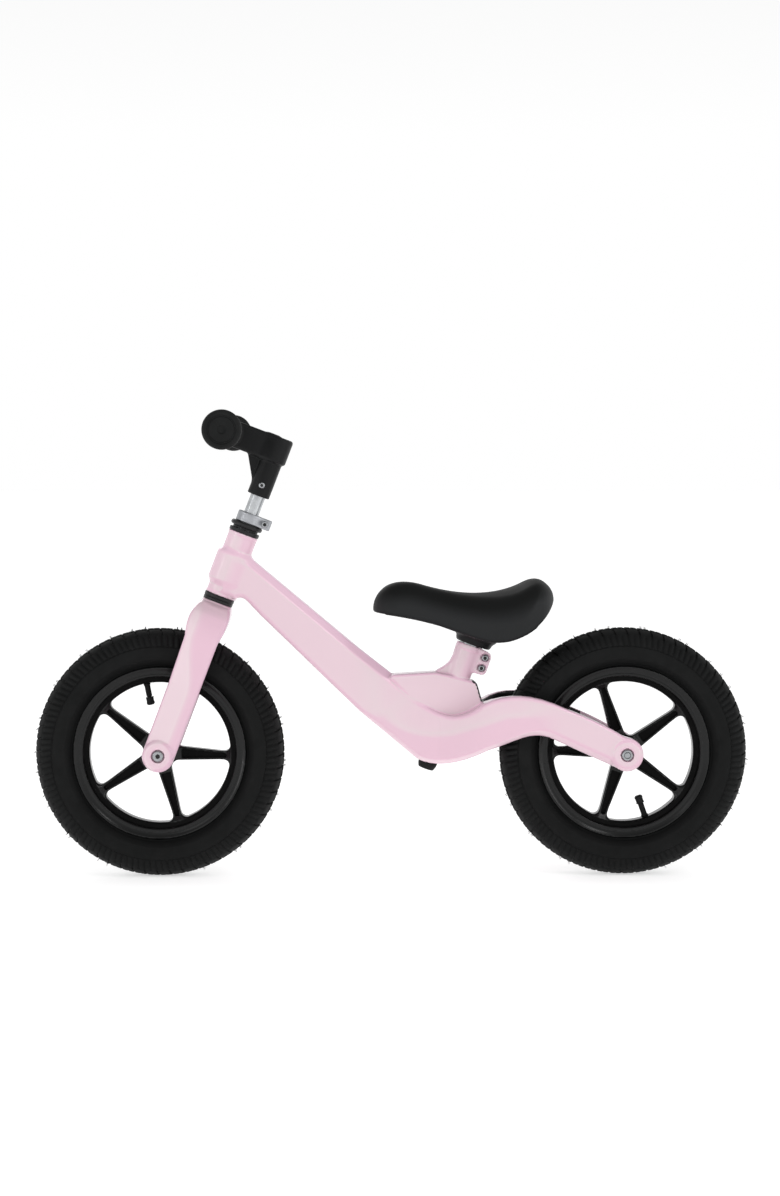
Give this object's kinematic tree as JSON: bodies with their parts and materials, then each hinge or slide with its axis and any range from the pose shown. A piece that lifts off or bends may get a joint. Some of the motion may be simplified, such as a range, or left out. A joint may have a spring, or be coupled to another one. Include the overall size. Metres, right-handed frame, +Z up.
{
  "type": "balance bike",
  "caption": "Child's balance bike with a cast frame and fork, spoked wheels with air tyres, a padded saddle on a clamped post, and a turning handlebar on a clamped stem.",
  "frame": {"origin": "on the ground midway between the wheels, in the centre plane", "axes": "+X forward, +Y to the rider's left, +Z up"},
  "size_m": [0.883, 0.406, 0.5744],
  "materials": {
    "paint": "gloss",
    "black_metal": "satin",
    "steel": "satin",
    "aluminium": "satin",
    "rim_plastic": "satin",
    "moulded_plastic": "satin",
    "tyre": "matte",
    "butyl": "matte",
    "grip_rubber": "matte",
    "saddle_skin": "satin"
  },
  "bodies": {
    "frame": {"frame_casting": "paint", "upper_headset_cup": "black_metal", "lower_headset_cup": "black_metal", "upper_ball_ring": "steel", "lower_ball_ring": "steel", "seat_tube_plug": "grip_rubber", "seat_clamp_bolt_upper": "steel", "seat_clamp_bolt_lower": "steel", "seat_clamp_nut_upper": "steel", "seat_clamp_nut_lower": "steel", "rear_axle": "steel", "rear_axle_nut_left": "steel", "rear_axle_nut_right": "steel", "rear_axle_spacer_left": "steel", "rear_axle_spacer_right": "steel"},
    "saddle": {"saddle_pad": "saddle_skin", "saddle_base": "moulded_plastic", "seat_post": "aluminium"},
    "rear_wheel": {"rear_tyre": "tyre", "rear_rim": "rim_plastic", "rear_inner_tube": "butyl", "rear_valve_cap": "moulded_plastic", "rear_bearing_sleeve": "steel", "rear_bearing_left": "steel", "rear_bearing_right": "steel"},
    "fork": {"fork_casting": "paint", "steerer_tube": "steel", "crown_race": "black_metal", "upper_cone": "black_metal", "front_axle": "steel", "front_axle_nut": "steel", "front_axle_spacer_left": "steel", "front_axle_spacer_right": "steel"},
    "front_wheel": {"front_tyre": "tyre", "front_rim": "rim_plastic", "front_inner_tube": "butyl", "front_valve_cap": "moulded_plastic", "front_bearing_sleeve": "steel", "front_bearing_left": "steel", "front_bearing_right": "steel"},
    "spacer": {"headset_spacer": "black_metal"},
    "clamp": {"stem_clamp": "aluminium", "stem_clamp_bolt": "steel", "stem_clamp_nut": "steel"},
    "handlebar": {"stem_body": "moulded_plastic", "stem_tube": "aluminium", "stem_cross_bolt": "steel", "stem_cross_nut": "steel", "handlebar_tube": "black_metal", "grip_left": "grip_rubber", "grip_right": "grip_rubber"}
  },
  "joints": [
    {"name": "steering", "type": "hinge", "parent": "frame", "child": "fork", "pos_m": [0.2875, 0, 0.154], "axis": [-0.3584, 0, 0.9336], "continuous": true},
    {"name": "front_wheel_spin", "type": "hinge", "parent": "fork", "child": "front_wheel", "pos_m": [0.2875, 0, 0.154], "axis": [0, 1, 0], "continuous": true},
    {"name": "rear_wheel_spin", "type": "hinge", "parent": "frame", "child": "rear_wheel", "pos_m": [-0.2875, 0, 0.154], "axis": [0, 1, 0], "continuous": true},
    {"name": "saddle_height", "type": "slide", "parent": "frame", "child": "saddle", "axis": [-0.3338, 0, 0.9426], "range_m": [0, 0.06]},
    {"name": "spacer_lift", "type": "slide", "parent": "fork", "child": "spacer", "axis": [-0.3584, 0, 0.9336], "range_m": [0, 0.032]},
    {"name": "clamp_lift", "type": "slide", "parent": "spacer", "child": "clamp", "axis": [-0.3584, 0, 0.9336], "range_m": [0, 0.036]},
    {"name": "handlebar_height", "type": "slide", "parent": "clamp", "child": "handlebar", "axis": [-0.3584, 0, 0.9336], "range_m": [-0.02, 0.105]}
  ]
}
